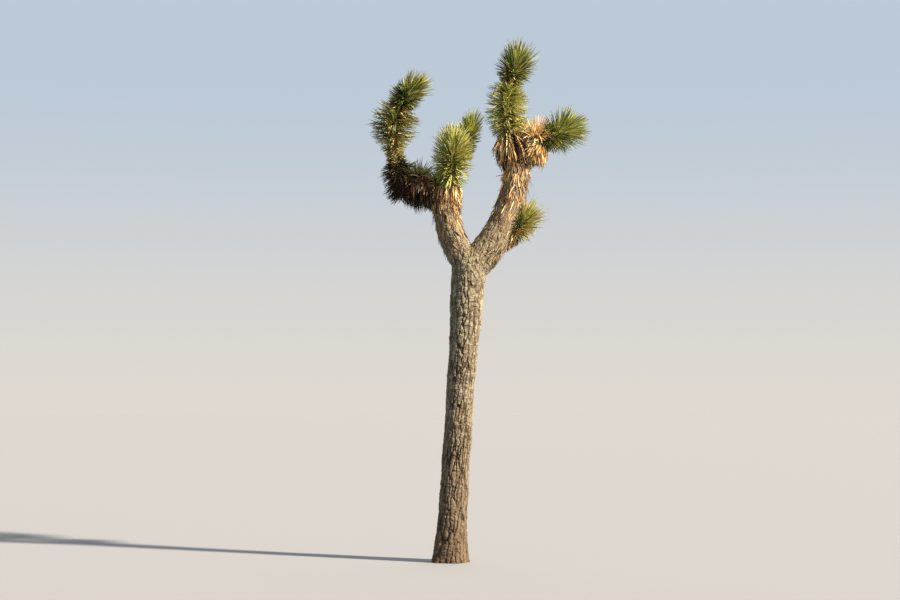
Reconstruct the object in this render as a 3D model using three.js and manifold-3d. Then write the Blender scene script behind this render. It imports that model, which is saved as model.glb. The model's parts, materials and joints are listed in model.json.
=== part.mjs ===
// A Joshua tree rooted in the ground, with one solid for each limb, each thatch of dead leaves and each head of live
// leaves.
//
// Units are millimetres. +Z is up, +X is to the right and +Y is away from someone who stands in front of the tree.
// The origin is the middle of the flat cut under the trunk, at ground level.

import * as THREE from "three";
import { mergeVertices } from "three/addons/utils/BufferGeometryUtils.js";
import Module from "manifold-3d";

const wasm = await Module();
wasm.setup();

const { clamp, degToRad, lerp, smoothstep } = THREE.MathUtils;

// Driving dimensions
const FORK_HEIGHT = 2600; // along the trunk's axis, to where the axes of the two boughs leave it
const TRUNK_LENGTH = 2730; // along the trunk's axis, from the ground to its blunt top between the boughs
const TRUNK_HEADING = [-35, 35]; // the way the trunk leans, at the ground and at the top, which bows it a little
const TRUNK_RISE = [86.5, 85.6]; // degrees from the horizontal, at the ground and at the top
const WAIST_RADIUS = 119; // of the trunk, halfway up
const FOOT_RADIUS = 163; // of the trunk at the ground
const SHOULDER_RADIUS = 146; // of the trunk under the fork
const SHOULDER_START = 1500; // height from which the trunk thickens towards its shoulder
const FLARE_HEIGHT = 210; // over which most of the root flare dies away
const FLARE_LOBES = 5; // ridges round the root flare
const LOBE_DEPTH = 0.22; // share of the flare
const BLUNTNESS = 0.75; // how much of its section the trunk loses in its blunt top
const LEAF_REACH = 205; // how far a live leaf stands out from the tip of its stem

// Fineness and clearance
const BURIED = 60; // length of trunk made below the ground and then cut off flat
const GAP = 0.3; // clearance between neighbouring solids
const STEPS = 24; // steps in the growth of one axis
const TRUNK_SIDES = 15;
const LIMB_SIDES = 11;
const RING_SPACING = 120; // along the trunk and limbs
const MASS_SIDES = 11;
const MASS_RINGS = 8;
const MASS_END = 0.2; // share of its radius that a mass keeps at its ends
const MASS_FULLNESS = 2.6; // 2 makes a mass an ellipsoid, and more makes its ends blunter
const FEWEST_RINGS = 3; // on a short limb
const LIMB_UNEVENNESS = 0.035; // share of the radius
const MASS_UNEVENNESS = 0.13;
const WAVINESS = 2; // how fast the unevenness changes along a limb or a mass
const TRUNK_WAVINESS = 3;
const FIRST_SEED = { trunk: 1, limbs: 2, thatches: 20, heads: 40 };

// The stems, each after the one it grows from. heading and rise are [at the start, at the tip] in degrees: heading is
// seen from above, 0 to the right and 90 away from the viewer, and rise is from the horizontal, with more than 90
// leaning back over. A bend below 1 turns early and one above 1 turns late. at is the share of the parent's length
// where the stem leaves it. radius is [start, tip], and bare is the share of the stem that is made as a limb, up to
// where it has entered a mass. A stem with no bare part lies wholly inside its masses. split is the share at which a
// limb that bends round the gap in the fork is cut in two.
const STEMS = {
  left_bough: {
    parent: "trunk", at: FORK_HEIGHT / TRUNK_LENGTH, heading: [188, 188], rise: [50, 98], length: 730,
    radius: [119, 104], bare: 0.92, split: 0.4,
  },
  right_bough: {
    parent: "trunk", at: FORK_HEIGHT / TRUNK_LENGTH, heading: [6, 6], rise: [22, 84], bend: 0.47, length: 1040,
    radius: [148, 96], bare: 1, split: 0.3,
  },
  left_arm: {
    parent: "left_bough", at: 0.95, heading: [166, 160], rise: [10, 28], length: 470,
    radius: [80, 70], bare: 0.42,
  },
  left_spire: {
    parent: "left_arm", at: 0.97, heading: [-8, -8], rise: [106, 43], bend: 1.75, length: 830,
    radius: [68, 40], bare: 0,
  },
  centre_spire: {
    parent: "left_bough", at: 0.97, heading: [-60, -66], rise: [62, 84], length: 455,
    radius: [84, 45], bare: 0,
  },
  twin_arm: {
    parent: "left_bough", at: 0.78, heading: [120, -80], rise: [65, 55], bend: 1.6, length: 800,
    radius: [62, 36], bare: 0.5,
  },
  left_back_arm: {
    parent: "left_bough", at: 0.76, heading: [104, 128], rise: [16, 40], length: 600,
    radius: [64, 40], bare: 0.48,
  },
  right_spire: {
    parent: "right_bough", at: 0.97, heading: [0, 0], rise: [113, 69], length: 925,
    radius: [82, 42], bare: 0,
  },
  right_arm: {
    parent: "right_bough", at: 0.97, heading: [-6, 12], rise: [50, 28], length: 550,
    radius: [72, 42], bare: 0.3,
  },
  right_back_arm: {
    parent: "right_bough", at: 0.88, heading: [88, 82], rise: [24, 78], length: 600,
    radius: [66, 40], bare: 0.45,
  },
  low_spur: {
    parent: "right_bough", at: 0.25, heading: [4, 4], rise: [14, 62], length: 400,
    radius: [60, 40], bare: 0.58,
  },
};

// The masses, in the order in which they are cut round each other. from and to are shares of the stem's length, and
// tip, in place of to, is how far a mass reaches past its stem's tip. radius is [at the foot, at the crown]. sag
// lowers the middle of a mass whose leaves hang.
const THATCHES = {
  left_arm_thatch: { stem: "left_arm", from: 0.02, to: 0.98, radius: [182, 180], sag: 40 },
  centre_thatch: { stem: "left_bough", from: 0.74, to: 1.08, radius: [128, 160] },
  twin_thatch: { stem: "twin_arm", from: 0.4, to: 0.78, radius: [82, 70], sag: 6 },
  left_back_thatch: { stem: "left_back_arm", from: 0.3, to: 0.66, radius: [100, 124], sag: 26 },
  right_thatch: { stem: "right_spire", from: -0.1, to: 0.36, radius: [140, 200] },
  right_arm_thatch: { stem: "right_arm", from: 0.16, to: 0.6, radius: [160, 180], sag: -10 },
  right_back_thatch: { stem: "right_back_arm", from: 0.3, to: 0.66, radius: [100, 128], sag: 20 },
  low_spur_thatch: { stem: "low_spur", from: 0.36, to: 0.66, radius: [86, 104], sag: 14 },
};
const HEADS = {
  left_elbow_leaves: { stem: "left_spire", from: -0.22, to: 0.24, radius: [186, 150] },
  left_middle_leaves: { stem: "left_spire", from: 0.2, to: 0.82, radius: [120, 286] },
  left_top_leaves: { stem: "left_spire", from: 0.74, tip: LEAF_REACH, radius: [156, 166] },
  centre_leaves: { stem: "centre_spire", from: 0.02, tip: LEAF_REACH - 40, radius: [182, 206] },
  twin_leaves: { stem: "twin_arm", from: 0.74, tip: LEAF_REACH - 60, radius: [104, 116] },
  left_back_leaves: { stem: "left_back_arm", from: 0.54, tip: LEAF_REACH, radius: [160, 176] },
  right_middle_leaves: { stem: "right_spire", from: 0.26, to: 0.86, radius: [190, 208] },
  right_top_leaves: { stem: "right_spire", from: 0.78, tip: LEAF_REACH + 40, radius: [168, 184] },
  right_side_leaves: { stem: "right_arm", from: 0.5, tip: LEAF_REACH, radius: [180, 228] },
  right_back_leaves: { stem: "right_back_arm", from: 0.5, tip: LEAF_REACH, radius: [160, 176] },
  low_spur_leaves: { stem: "low_spur", from: 0.46, tip: LEAF_REACH, radius: [150, 200] },
};

// Waves that make a body uneven: each has its share of the whole, its count round the body and its rate along it.
const WAVES = [
  { share: 0.5, round: 2, along: 5.1, shift: 2.3 },
  { share: 0.3, round: 3, along: -7.3, shift: 4.1 },
  { share: 0.2, round: 5, along: 11.7, shift: 1.7 },
];

const BARK = new THREE.MeshStandardMaterial({ color: 0x8b7860, roughness: 0.95, metalness: 0 });
const DEAD_LEAF = new THREE.MeshStandardMaterial({ color: 0xb98f57, roughness: 0.85, metalness: 0 });
const LIVE_LEAF = new THREE.MeshStandardMaterial({ color: 0x76803a, roughness: 0.6, metalness: 0 });

// Growth

function direction(heading, rise) {
  const [h, r] = [degToRad(heading), degToRad(rise)];
  return new THREE.Vector3(Math.cos(h) * Math.cos(r), Math.sin(h) * Math.cos(r), Math.sin(r));
}

// An axis grows in short steps, each turned a little from the first direction towards the last.
function grow(start, { heading, rise, bend = 1, length }) {
  const points = [start.clone()];
  for (let i = 0; i < STEPS; i++) {
    const t = (i + 0.5) / STEPS;
    const way = direction(lerp(...heading, t), lerp(...rise, t ** bend));
    points.push(points[i].clone().addScaledVector(way, length / STEPS));
  }
  return new THREE.CatmullRomCurve3(points);
}

// The part of an axis between two distances along it, which may lie before its start or past its tip.
function stretch(axis, first, last) {
  const length = axis.getLength();
  const points = [];
  for (let i = 0; i <= STEPS; i++) {
    const at = lerp(first, last, i / STEPS);
    const u = clamp(at / length, 0, 1);
    points.push(axis.getPointAt(u).addScaledVector(axis.getTangentAt(u), at - u * length));
  }
  return new THREE.CatmullRomCurve3(points);
}

// Every stem's axis by its name. The trunk's starts at the origin.
function growAxes() {
  const trunk = { heading: TRUNK_HEADING, rise: TRUNK_RISE, length: TRUNK_LENGTH };
  const axes = { trunk: grow(new THREE.Vector3(), trunk) };
  for (const [name, stem] of Object.entries(STEMS)) {
    axes[name] = grow(axes[stem.parent].getPointAt(stem.at), stem);
  }
  return axes;
}

// Bodies

// How far a body stands out of round at one place, between about -1 and 1. Each body has its own seed.
function unevenness(seed, angle, t) {
  const heights = WAVES.map((w) => w.share * Math.sin(w.round * angle + w.along * t + w.shift * seed));
  return heights.reduce((sum, height) => sum + height, 0);
}

// A closed body round an axis. radiusAt(t, angle) gives its radius at share t of the axis, and its ends are flat.
function bodyAlong(axis, rings, sides, radiusAt, sag = 0) {
  const frames = axis.computeFrenetFrames(rings, false);
  const positions = [];
  for (let i = 0; i <= rings; i++) {
    const t = i / rings;
    const middle = axis.getPointAt(t);
    middle.z -= sag * Math.sin(Math.PI * t);
    for (let j = 0; j < sides; j++) {
      const angle = (2 * Math.PI * j) / sides;
      const radius = radiusAt(t, angle);
      const point = middle.clone();
      point.addScaledVector(frames.normals[i], radius * Math.cos(angle));
      point.addScaledVector(frames.binormals[i], radius * Math.sin(angle));
      positions.push(...point.toArray());
    }
  }
  const index = [];
  for (let i = 0; i < rings; i++) {
    for (let j = 0; j < sides; j++) {
      const [a, b] = [i * sides + j, i * sides + ((j + 1) % sides)];
      index.push(a, b, b + sides, a, b + sides, a + sides);
    }
  }
  const last = rings * sides;
  for (let j = 1; j < sides - 1; j++) {
    index.push(0, j + 1, j, last, last + j, last + j + 1);
  }
  const geometry = new THREE.BufferGeometry();
  geometry.setAttribute("position", new THREE.Float32BufferAttribute(positions, 3));
  geometry.setIndex(index);
  return solidOf(geometry);
}

// The bodies below take extra, the width by which a copy is larger all round than the body itself.

// The trunk is thickest at the ground, waisted halfway up and thicker again at its shoulder, with a blunt top.
function trunkBody(axis, extra) {
  const radiusAt = (t, angle) => {
    const height = Math.max(0, lerp(-BURIED, TRUNK_LENGTH, t));
    const flare = (FOOT_RADIUS - WAIST_RADIUS) * Math.exp(-height / FLARE_HEIGHT);
    const lobes = LOBE_DEPTH * flare * Math.sin(FLARE_LOBES * angle);
    const shoulder = (SHOULDER_RADIUS - WAIST_RADIUS) * smoothstep(height, SHOULDER_START, FORK_HEIGHT);
    const blunt = Math.sqrt(1 - BLUNTNESS * smoothstep(height, FORK_HEIGHT, TRUNK_LENGTH));
    const uneven = 1 + LIMB_UNEVENNESS * unevenness(FIRST_SEED.trunk, angle, TRUNK_WAVINESS * t);
    return (WAIST_RADIUS + flare + lobes + shoulder) * blunt * uneven + extra;
  };
  const piece = stretch(axis, -BURIED, TRUNK_LENGTH + extra);
  const rings = Math.round(TRUNK_LENGTH / RING_SPACING);
  return bodyAlong(piece, rings, TRUNK_SIDES, radiusAt).trimByPlane([0, 0, 1], 0);
}

function limbBody(axis, { length, radius, bare }, seed, extra) {
  const radiusAt = (t, angle) => {
    const uneven = 1 + LIMB_UNEVENNESS * unevenness(seed, angle, WAVINESS * t);
    return lerp(...radius, t * bare) * uneven + extra;
  };
  const piece = stretch(axis, -extra, length * bare + extra);
  const rings = Math.max(FEWEST_RINGS, Math.round((length * bare) / RING_SPACING));
  return bodyAlong(piece, rings, LIMB_SIDES, radiusAt);
}

// A mass swells quickly from a small foot, stays full and closes to a small crown.
function massBody(axis, { stem, from, to, tip, radius, sag }, seed, extra) {
  const { length } = STEMS[stem];
  const end = tip === undefined ? length * to : length + tip;
  const radiusAt = (t, angle) => {
    const round = Math.sqrt(1 - Math.abs(2 * t - 1) ** MASS_FULLNESS);
    const share = lerp(MASS_END, 1, round);
    const uneven = 1 + MASS_UNEVENNESS * unevenness(seed, angle, WAVINESS * t);
    return lerp(...radius, t) * share * uneven + extra;
  };
  const piece = stretch(axis, length * from - extra, end + extra);
  return bodyAlong(piece, MASS_RINGS, MASS_SIDES, radiusAt, sag);
}

// Joining and cutting

function solidOf(geometry) {
  const merged = mergeVertices(geometry);
  return new wasm.Manifold(
    new wasm.Mesh({
      numProp: 3,
      vertProperties: merged.attributes.position.array,
      triVerts: new Uint32Array(merged.index.array),
    }),
  );
}

function geometryOf(solid) {
  const mesh = solid.getMesh();
  const geometry = new THREE.BufferGeometry();
  geometry.setAttribute("position", new THREE.BufferAttribute(mesh.vertProperties, 3));
  geometry.setIndex(new THREE.BufferAttribute(mesh.triVerts, 1));
  geometry.computeVertexNormals();
  return geometry;
}

function largestPiece(solid) {
  return solid.decompose().reduce((a, b) => (a.volume() >= b.volume() ? a : b));
}

// The tree

const tree = new THREE.Group();
const axes = growAxes();
const taken = []; // slightly larger copies of the bodies that are in the tree

// Adds a body to the tree, less all that is there already. make(extra) gives the body or a larger copy of it.
function plant(name, material, make) {
  const rest = taken.reduce((solid, other) => solid.subtract(other), make(0));
  const mesh = new THREE.Mesh(geometryOf(largestPiece(rest)), material);
  mesh.name = name;
  tree.add(mesh);
  taken.push(make(GAP));
}

// A limb that is split is cut square to its axis, into a lower and an upper piece.
function plantLimb(name, stem, seed) {
  const whole = (extra) => limbBody(axes[name], stem, seed, extra);
  if (stem.split === undefined) {
    plant(name, BARK, whole);
    return;
  }
  const onward = axes[name].getTangentAt(stem.split);
  const place = onward.dot(axes[name].getPointAt(stem.split));
  const back = onward.clone().negate();
  plant(`${name}_lower`, BARK, (extra) => whole(extra).trimByPlane(back.toArray(), -place - extra));
  plant(`${name}_upper`, BARK, (extra) => whole(extra).trimByPlane(onward.toArray(), place - extra));
}

plant("trunk", BARK, (extra) => trunkBody(axes.trunk, extra));

const limbs = Object.entries(STEMS).filter(([, stem]) => stem.bare > 0);
limbs.forEach(([name, stem], i) => plantLimb(name, stem, FIRST_SEED.limbs + i));
Object.entries(THATCHES).forEach(([name, mass], i) => {
  plant(name, DEAD_LEAF, (extra) => massBody(axes[mass.stem], mass, FIRST_SEED.thatches + i, extra));
});
Object.entries(HEADS).forEach(([name, mass], i) => {
  plant(name, LIVE_LEAF, (extra) => massBody(axes[mass.stem], mass, FIRST_SEED.heads + i, extra));
});

export default tree;
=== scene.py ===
# %% [markdown]
# # A Joshua tree on its CAD frame
#
# The CAD model gives the tree as plain solids: a trunk, boughs, and one closed body for each clump of
# leaves. This script keeps those as the frame, and grows the tree that one sees: a skin of cracked bark,
# some thousands of stiff leaves on the stems, and the dead leaves that hang below them. All lengths are
# in metres, +Z is up, +X is to the right and +Y is away from the viewer.

import json
import math

import bmesh
import bpy
import numpy as np
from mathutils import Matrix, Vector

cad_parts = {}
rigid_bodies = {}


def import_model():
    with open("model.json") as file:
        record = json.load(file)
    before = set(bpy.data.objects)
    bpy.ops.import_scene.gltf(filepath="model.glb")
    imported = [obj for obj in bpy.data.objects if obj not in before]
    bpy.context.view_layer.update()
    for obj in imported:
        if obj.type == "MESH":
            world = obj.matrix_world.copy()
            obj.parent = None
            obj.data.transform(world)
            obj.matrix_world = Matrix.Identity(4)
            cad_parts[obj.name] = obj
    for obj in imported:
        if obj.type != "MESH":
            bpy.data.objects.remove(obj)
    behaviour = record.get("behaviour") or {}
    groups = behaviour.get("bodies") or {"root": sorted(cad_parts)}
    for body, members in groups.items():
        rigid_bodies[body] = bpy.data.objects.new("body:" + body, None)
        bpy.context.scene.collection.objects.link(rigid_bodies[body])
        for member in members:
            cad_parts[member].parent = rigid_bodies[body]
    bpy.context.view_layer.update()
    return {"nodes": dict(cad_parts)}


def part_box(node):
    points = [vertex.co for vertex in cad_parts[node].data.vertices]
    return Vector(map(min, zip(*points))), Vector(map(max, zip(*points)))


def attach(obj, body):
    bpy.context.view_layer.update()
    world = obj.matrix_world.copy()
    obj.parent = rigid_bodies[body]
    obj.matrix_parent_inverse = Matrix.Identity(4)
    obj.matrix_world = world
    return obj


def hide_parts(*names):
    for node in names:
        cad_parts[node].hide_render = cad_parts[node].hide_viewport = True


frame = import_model()

# %% [markdown]
# ## Arrays in place of loops
#
# A leaf takes 25 vertices and the tree has thousands of leaves, so a loop over vertices would be slow.
# Each shape here is worked out as whole numpy arrays instead, and handed to Blender in one go.

# %% Small tools for arrays


def between(first, last, share):
    """First at share 0 and last at share 1, evenly between them."""
    return first + (last - first) * share


def ease(low, high, value):
    """0 below low and 1 above high, with the cubic 3t^2 - 2t^3 between them."""
    t = np.clip((value - low) / (high - low), 0, 1)
    return t * t * (3 - 2 * t)


def unit(vectors):
    """Each vector over its own length."""
    return vectors / np.linalg.norm(vectors, axis=-1, keepdims=True)


def turned(first, second, angle):
    """The first direction turned towards the second: cos(angle) first + sin(angle) second."""
    angle = np.asarray(angle)[..., None]
    return first * np.cos(angle) + second * np.sin(angle)


def read(collection, what, width, kind=np.float32):
    """One value of every item of a mesh, as an array of that width."""
    values = np.empty(len(collection) * width, kind)
    collection.foreach_get(what, values)
    return values.reshape(-1, width) if width > 1 else values


def mesh_of(name, points, quads, triangles):
    """A mesh from an array of points and arrays of the corners of its faces, four or three to a row."""
    corners = np.concatenate([quads.ravel(), triangles.ravel()]).astype(np.int32)
    sizes = np.concatenate([np.full(len(quads), 4), np.full(len(triangles), 3)])
    starts = np.concatenate([[0], np.cumsum(sizes)[:-1]]).astype(np.int32)
    mesh = bpy.data.meshes.new(name)
    mesh.vertices.add(len(points))
    mesh.loops.add(len(corners))
    mesh.polygons.add(len(sizes))
    mesh.vertices.foreach_set("co", points.astype(np.float32).ravel())
    mesh.loops.foreach_set("vertex_index", corners)
    mesh.polygons.foreach_set("loop_start", starts)
    mesh.update(calc_edges=True)
    return mesh


def show(name, data):
    """A new object in the scene, at the origin, made of a mesh, a camera or a light."""
    piece = bpy.data.objects.new(name, data)
    bpy.context.scene.collection.objects.link(piece)
    return piece


# %% [markdown]
# ## How the tree grows
#
# A Joshua tree grows at the tip of each stem until it flowers there, and then goes on from a bud beside
# the flower. So the whole tree is a few stems, each of which starts somewhere on an older one and curves
# up to the light. Each stem could be drawn by hand as a curve. Here it follows the same rule as the CAD
# model: it takes short steps, each turned a little further from its first direction towards its last.

# %% The stems
STEPS = 240
TRUNK = {"heading": (-35, 35), "rise": (86.5, 85.6), "length": 2.73}
FORK_HEIGHT = 2.60

# heading and rise are (at the start, at the tip) in degrees. heading is seen from above, 0 to the right
# and 90 away from the viewer. rise is from the horizontal, and more than 90 leans back over. bend below 1
# turns early.
STEMS = {
    "left_bough": dict(
        parent="trunk", at=FORK_HEIGHT / TRUNK["length"], heading=(188, 188), rise=(50, 98),
        length=0.730, radius=(0.119, 0.104)),
    "right_bough": dict(
        parent="trunk", at=FORK_HEIGHT / TRUNK["length"], heading=(6, 6), rise=(22, 84), bend=0.47,
        length=1.040, radius=(0.148, 0.096)),
    "left_arm": dict(
        parent="left_bough", at=0.95, heading=(166, 160), rise=(10, 28),
        length=0.470, radius=(0.080, 0.070)),
    "left_spire": dict(
        parent="left_arm", at=0.97, heading=(-8, -8), rise=(106, 43), bend=1.75,
        length=0.830, radius=(0.068, 0.040)),
    "centre_spire": dict(
        parent="left_bough", at=0.97, heading=(-60, -66), rise=(62, 84),
        length=0.455, radius=(0.084, 0.045)),
    "twin_arm": dict(
        parent="left_bough", at=0.78, heading=(120, -80), rise=(65, 55), bend=1.6,
        length=0.800, radius=(0.062, 0.036)),
    "left_back_arm": dict(
        parent="left_bough", at=0.76, heading=(104, 128), rise=(16, 40),
        length=0.600, radius=(0.064, 0.040)),
    "right_spire": dict(
        parent="right_bough", at=0.97, heading=(0, 0), rise=(113, 69),
        length=0.925, radius=(0.082, 0.042)),
    "right_arm": dict(
        parent="right_bough", at=0.97, heading=(-6, 12), rise=(50, 28),
        length=0.550, radius=(0.072, 0.042)),
    "right_back_arm": dict(
        parent="right_bough", at=0.88, heading=(88, 82), rise=(24, 78),
        length=0.600, radius=(0.066, 0.040)),
    "low_spur": dict(
        parent="right_bough", at=0.25, heading=(4, 4), rise=(14, 62),
        length=0.400, radius=(0.060, 0.040)),
}


def rows_at(table, place):
    """The rows of a table at places that may lie between two rows."""
    steps = np.arange(len(table))
    return np.stack([np.interp(place, steps, column) for column in table.T], axis=-1)


def grow(start, heading, rise, length, bend=1.0):
    """A stem's axis. Step by step it goes (cos h cos r, sin h cos r, sin r), where the heading h turns
    evenly from its first value to its last, and the rise r turns with the share of the length to the
    power bend. The side of each step is (-sin h, cos h, 0), which is level and square to the step."""
    t = (np.arange(STEPS) + 0.5) / STEPS
    h = np.radians(between(*heading, t))
    r = np.radians(between(*rise, t**bend))
    way = np.stack([np.cos(h) * np.cos(r), np.sin(h) * np.cos(r), np.sin(r)], axis=1)
    side = np.stack([-np.sin(h), np.cos(h), np.zeros(STEPS)], axis=1)
    walked = np.vstack([np.zeros(3), np.cumsum(way, axis=0)]) * length / STEPS
    return {"points": start + walked, "way": way, "side": side, "length": length}


def along(axis, share):
    """The point at a share of an axis, with its three directions: onward, to the side and across both.
    Before its start and past its tip the axis runs straight on."""
    share = np.atleast_1d(np.asarray(share, float))
    inside = np.clip(share, 0, 1)
    point = rows_at(axis["points"], inside * STEPS)
    way = unit(rows_at(axis["way"], inside * STEPS - 0.5))
    side = unit(rows_at(axis["side"], inside * STEPS - 0.5))
    point = point + ((share - inside) * axis["length"])[:, None] * way
    return point, way, side, np.cross(way, side)


axes = {"trunk": grow(np.zeros(3), **TRUNK)}
for name, stem in STEMS.items():
    foot = along(axes[stem["parent"]], stem["at"])[0][0]
    axes[name] = grow(foot, stem["heading"], stem["rise"], stem["length"], stem.get("bend", 1.0))

top = along(axes["right_spire"], 1.0)[0][0]
low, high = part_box("right_top_leaves")
print("tip of the tallest stem:", top.round(3), "in its CAD head:", [round(v, 3) for v in (*low, *high)])

# %% [markdown]
# ## A tube round an axis
#
# Trunk and boughs are round in section. Blender could sweep a circle along a curve, but a tube worked out
# ring by ring can take any radius at any place, so it can have a root flare and lumps.

# %% Tubes


def ring_faces(rings, sides):
    """Quads between neighbouring rings, and triangles that close both ends round a middle point."""
    i, j = np.meshgrid(np.arange(rings - 1), np.arange(sides), indexing="ij")
    a = (i * sides + j).ravel()
    b = (i * sides + (j + 1) % sides).ravel()
    quads = np.stack([a, b, b + sides, a + sides], axis=1)
    j = np.arange(sides)
    after = (j + 1) % sides
    last = (rings - 1) * sides
    foot, tip = np.full(sides, rings * sides), np.full(sides, rings * sides + 1)
    ends = [np.stack([foot, after, j], axis=1), np.stack([tip, last + j, last + after], axis=1)]
    return quads, np.vstack(ends)


def tube(axis, shares, sides, radius_at):
    """The points of a closed tube. Point (i, j) stands off from the axis at share i by radius_at(share,
    angle), at the angle 2 pi j / sides from the side towards across."""
    point, _, side, across = along(axis, shares)
    angle = np.linspace(0, 2 * np.pi, sides, endpoint=False)
    radius = radius_at(shares[:, None], angle[None, :])
    outward = turned(side[:, None], across[:, None], angle[None])
    rings = point[:, None] + radius[:, :, None] * outward
    return np.vstack([rings.reshape(-1, 3), point[:1], point[-1:]])


def join(parts):
    """Several (points, quads, triangles) as one."""
    shifts = np.cumsum([0] + [len(points) for points, _, _ in parts])
    return (
        np.vstack([points for points, _, _ in parts]),
        np.vstack([quads + shift for (_, quads, _), shift in zip(parts, shifts)]),
        np.vstack([triangles + shift for (_, _, triangles), shift in zip(parts, shifts)]),
    )


# %% [markdown]
# ## Trunk and boughs as one skin
#
# On a living tree the bark runs over a fork without a seam. Tubes that only cross each other leave a
# sharp crease there. A boolean union leaves the crease too, and a sculpted mesh can't be worked out by
# rule. So the tubes are fused by a voxel remesh, which lays an even net of small quads over all of them.

# %% Tubes of the trunk and boughs
WAIST_RADIUS = 0.119
FOOT_FLARE = 0.044
SHOULDER_GROWTH = 0.027
SHOULDER_START = 1.50
FLARE_HEIGHT = 0.21
FLARE_LOBES = 5
LOBE_DEPTH = 0.22
BLUNTING = 0.75  # how far the trunk's top is closed
BURIED = 0.03
LIMB_SIDES = 56
RING_SPACING = 0.015


def trunk_radius(share, angle):
    """Waist, plus a flare that dies away as exp(-height / flare height) and has five soft lobes, plus a
    shoulder that swells towards the fork, all closed by a blunt top."""
    height = np.maximum(0, share * TRUNK["length"])
    flare = FOOT_FLARE * np.exp(-height / FLARE_HEIGHT)
    bearing = angle + math.pi + np.radians(between(*TRUNK["heading"], share))
    lobes = LOBE_DEPTH * flare * np.sin(FLARE_LOBES * bearing)
    shoulder = SHOULDER_GROWTH * ease(SHOULDER_START, FORK_HEIGHT, height)
    blunt = np.sqrt(1 - BLUNTING * ease(FORK_HEIGHT, TRUNK["length"], height))
    return (WAIST_RADIUS + flare + lobes + shoulder) * blunt


def stem_radius(name):
    """A rule for the radius of a limb: evenly from its value at the start to that at the tip."""
    first, last = STEMS[name]["radius"]
    return lambda share, angle: between(first, last, share) + 0 * angle


def limb(name, first, last, radius_at):
    """A closed tube along part of a stem."""
    shares = np.linspace(first, last, max(4, int((last - first) * axes[name]["length"] / RING_SPACING)))
    points = tube(axes[name], shares, LIMB_SIDES, radius_at)
    return points, *ring_faces(len(shares), LIMB_SIDES)


# Shares of each stem that have bark, which ends a little inside its first clump of leaves.
BARKED = {
    "left_bough": (0.0, 1.0),
    "right_bough": (0.0, 1.0),
    "left_arm": (0.0, 0.30),
    "twin_arm": (0.0, 0.52),
    "left_back_arm": (0.0, 0.50),
    "right_arm": (0.0, 0.30),
    "right_back_arm": (0.0, 0.46),
    "low_spur": (0.0, 0.58),
}
tubes = [limb("trunk", -BURIED / TRUNK["length"], 1.0, trunk_radius)]
tubes += [limb(name, *shares, stem_radius(name)) for name, shares in BARKED.items()]
raw_skin = show("raw_skin", mesh_of("raw_skin", *join(tubes)))
print("tubes:", len(tubes), "faces:", len(raw_skin.data.polygons))

# %% Fuse them
VOXEL = 0.0042  # metres; small enough for a crack of 6 mm

fuse = raw_skin.modifiers.new("fuse", "REMESH")
fuse.mode = "VOXEL"
fuse.voxel_size = VOXEL
soften = raw_skin.modifiers.new("soften", "SMOOTH")
soften.factor, soften.iterations = 0.5, 60
skin = bpy.data.meshes.new_from_object(raw_skin.evaluated_get(bpy.context.evaluated_depsgraph_get()))
bpy.data.objects.remove(raw_skin)
print("quads of the fused skin:", len(skin.polygons))

# %% [markdown]
# ## Bark
#
# The bark of a Joshua tree is cork. Long furrows split it into ridges, some 4 cm wide and a few times as
# long, and cracks across break the ridges into blocks. A displacement modifier would need a picture, and
# a bump map alone leaves the outline smooth. So the ridges and blocks are worked out as cells: points are
# strewn at random, one to each box of a grid, and a crack lies where two of them are equally near. The
# grid is wrapped round each stem, so the pattern turns with the boughs. Tall boxes give ridges. Low wide
# ones give blocks, and are shifted along the stem from one ridge to the next, so that each ridge breaks
# at heights of its own.

# %% Fixed random numbers for the cells of a grid


def scatter(cell, seed):
    """A number between 0 and 1 for each whole-numbered cell, always the same: its three coordinates are
    stirred into one 32-bit number by large odd factors and shifts."""
    x, y, z = (cell[..., k].astype(np.int64).astype(np.uint32) for k in range(3))
    mixed = x * np.uint32(0x8DA6B343) ^ y * np.uint32(0xD8163841) ^ z * np.uint32(0xCB1AB31F)
    mixed ^= np.uint32((seed * 0x9E3779B1) & 0xFFFFFFFF)
    mixed = (mixed ^ (mixed >> np.uint32(15))) * np.uint32(0x2C1B3C6D)
    mixed = (mixed ^ (mixed >> np.uint32(12))) * np.uint32(0x297A2D39)
    return (mixed ^ (mixed >> np.uint32(15))) / 2.0**32


def cloud(place, seed):
    """Smooth noise from -1 to 1: the random numbers at the corners of each unit box, eased between."""
    corner = np.floor(place)
    share = place - corner
    share = share * share * (3 - 2 * share)
    total = np.zeros(len(place))
    for step in np.ndindex(2, 2, 2):
        weight = np.prod(np.where(step, share, 1 - share), axis=1)
        total += weight * scatter(corner + step, seed)
    return 2 * total - 1


FAR = 9.0  # cells, further off than any strewn point that counts


def plates(place, seed, around=None):
    """Distances to the nearest and the second nearest of the strewn points, a fixed random number for the
    nearest, which names the plate, and how high the plate stands here: its face is a plane with a random
    tilt. The places have two or three coordinates, counted in cells. After so many cells around, the
    first one starts again."""
    directions = place.shape[1]
    corner = np.floor(place)
    nearest = np.full(len(place), FAR)
    second, plate, face = nearest.copy(), np.zeros(len(place)), np.zeros(len(place))
    for step in np.ndindex((3,) * directions):
        cell = corner + step - 1
        label = np.pad(cell, ((0, 0), (0, 3 - directions)))
        if around is not None:
            label[:, 0] %= around
        point = cell + np.stack([scatter(label, seed + k) for k in range(directions)], axis=1)
        offset = place - point
        gap = np.linalg.norm(offset, axis=1)
        closer = gap < nearest
        second = np.where(closer, nearest, np.minimum(second, gap))
        plate = np.where(closer, scatter(label, seed + 3), plate)
        lean = np.stack([scatter(label, seed + 4 + k) for k in range(directions)], axis=1) - 0.5
        face = np.where(closer, (offset * lean).sum(1), face)
        nearest = np.where(closer, gap, nearest)
    return nearest, second, plate, face


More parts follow.
